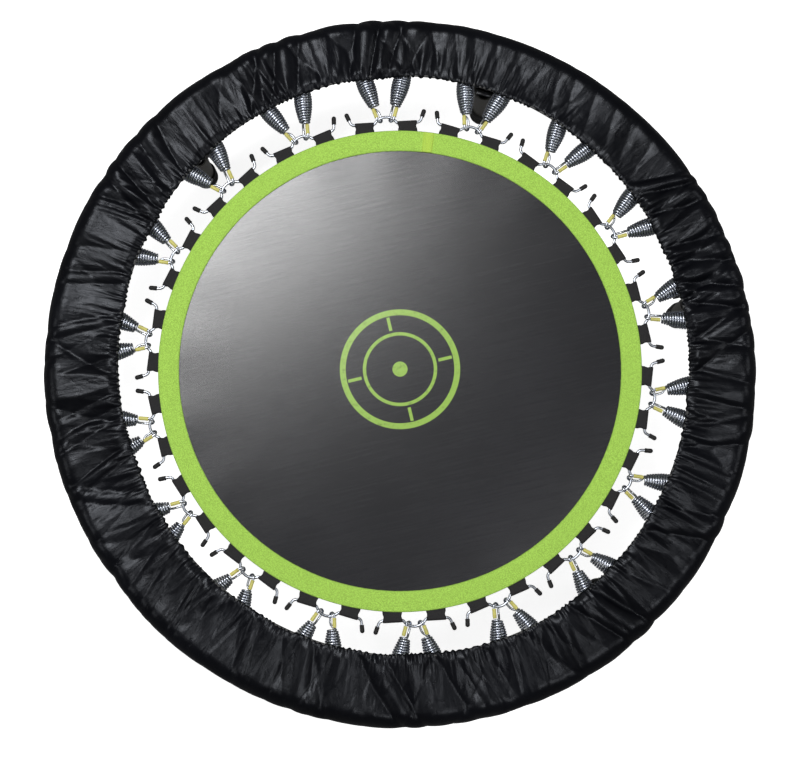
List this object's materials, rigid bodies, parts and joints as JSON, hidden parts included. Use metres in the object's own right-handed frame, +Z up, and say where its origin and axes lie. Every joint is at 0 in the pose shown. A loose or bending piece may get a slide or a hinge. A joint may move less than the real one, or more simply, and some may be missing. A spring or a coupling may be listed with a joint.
{
  "type": "mini trampoline",
  "caption": "Round mini trampoline: a woven mat with a lime edge band hangs on coil springs inside a steel ring with folding legs and a gathered black cover.",
  "frame": {"origin": "on the floor under the centre of the ring", "axes": "+Z up; +X through spring pair 1 and leg 1"},
  "size_m": [1.0125, 1.0126, 0.2223],
  "materials": {
    "black_steel": "satin black powder coat",
    "zinc_hardware": "zinc plated",
    "skirt_cloth": "coated polyester, soft sheen",
    "elastic_cord": "braided elastic",
    "spring_steel": "bright zinc plated wire",
    "yellow_sleeve": "soft plastic tube",
    "mat_weave": "woven polypropylene, slight sheen",
    "green_webbing": "lime polypropylene webbing",
    "black_webbing": "ribbed webbing",
    "clip_wire": "zinc plated wire",
    "black_rubber": "matt moulded rubber",
    "leg_paint": "dark powder coat"
  },
  "bodies": {
    "frame": {"frame_ring": "black_steel", "spring_lugs": "black_steel", "leg_brackets": "black_steel", "hinge_bolts": "zinc_hardware", "hinge_washers": "zinc_hardware", "hinge_nuts": "zinc_hardware", "skirt": "skirt_cloth", "skirt_inner_elastic": "elastic_cord", "skirt_outer_elastic": "elastic_cord", "springs": "spring_steel", "hook_sleeves": "yellow_sleeve"},
    "mat": {"mat_bed": "mat_weave", "edge_band": "green_webbing", "webbing_loops": "black_webbing", "wire_clips": "clip_wire", "clip_caps": "black_rubber"},
    "leg_1": {"leg_tube_1": "leg_paint", "pivot_bush_1": "zinc_hardware", "leg_foot_1": "black_rubber"},
    "leg_2": {"leg_tube_2": "leg_paint", "pivot_bush_2": "zinc_hardware", "leg_foot_2": "black_rubber"},
    "leg_3": {"leg_tube_3": "leg_paint", "pivot_bush_3": "zinc_hardware", "leg_foot_3": "black_rubber"},
    "leg_4": {"leg_tube_4": "leg_paint", "pivot_bush_4": "zinc_hardware", "leg_foot_4": "black_rubber"},
    "leg_5": {"leg_tube_5": "leg_paint", "pivot_bush_5": "zinc_hardware", "leg_foot_5": "black_rubber"},
    "leg_6": {"leg_tube_6": "leg_paint", "pivot_bush_6": "zinc_hardware", "leg_foot_6": "black_rubber"}
  },
  "joints": [
    {"name": "mat_bounce", "type": "slide", "parent": "frame", "child": "mat", "axis": [0, 0, 1], "range_m": [-0.04, 0.006], "stiffness_N_per_m": 20000, "deforming": ["springs", "hook_sleeves"]},
    {"name": "leg_fold_1", "type": "hinge", "parent": "frame", "child": "leg_1", "pos_m": [0.432, 0, 0.14], "axis": [0, 1, 0], "range_deg": [0, 90]},
    {"name": "leg_fold_2", "type": "hinge", "parent": "frame", "child": "leg_2", "pos_m": [0.216, 0.37412, 0.14], "axis": [-0.866, 0.5, 0], "range_deg": [0, 90]},
    {"name": "leg_fold_3", "type": "hinge", "parent": "frame", "child": "leg_3", "pos_m": [-0.216, 0.37412, 0.14], "axis": [-0.866, -0.5, 0], "range_deg": [0, 90]},
    {"name": "leg_fold_4", "type": "hinge", "parent": "frame", "child": "leg_4", "pos_m": [-0.432, 0, 0.14], "axis": [0, -1, 0], "range_deg": [0, 90]},
    {"name": "leg_fold_5", "type": "hinge", "parent": "frame", "child": "leg_5", "pos_m": [-0.216, -0.37412, 0.14], "axis": [0.866, -0.5, 0], "range_deg": [0, 90]},
    {"name": "leg_fold_6", "type": "hinge", "parent": "frame", "child": "leg_6", "pos_m": [0.216, -0.37412, 0.14], "axis": [0.866, 0.5, 0], "range_deg": [0, 90]}
  ]
}
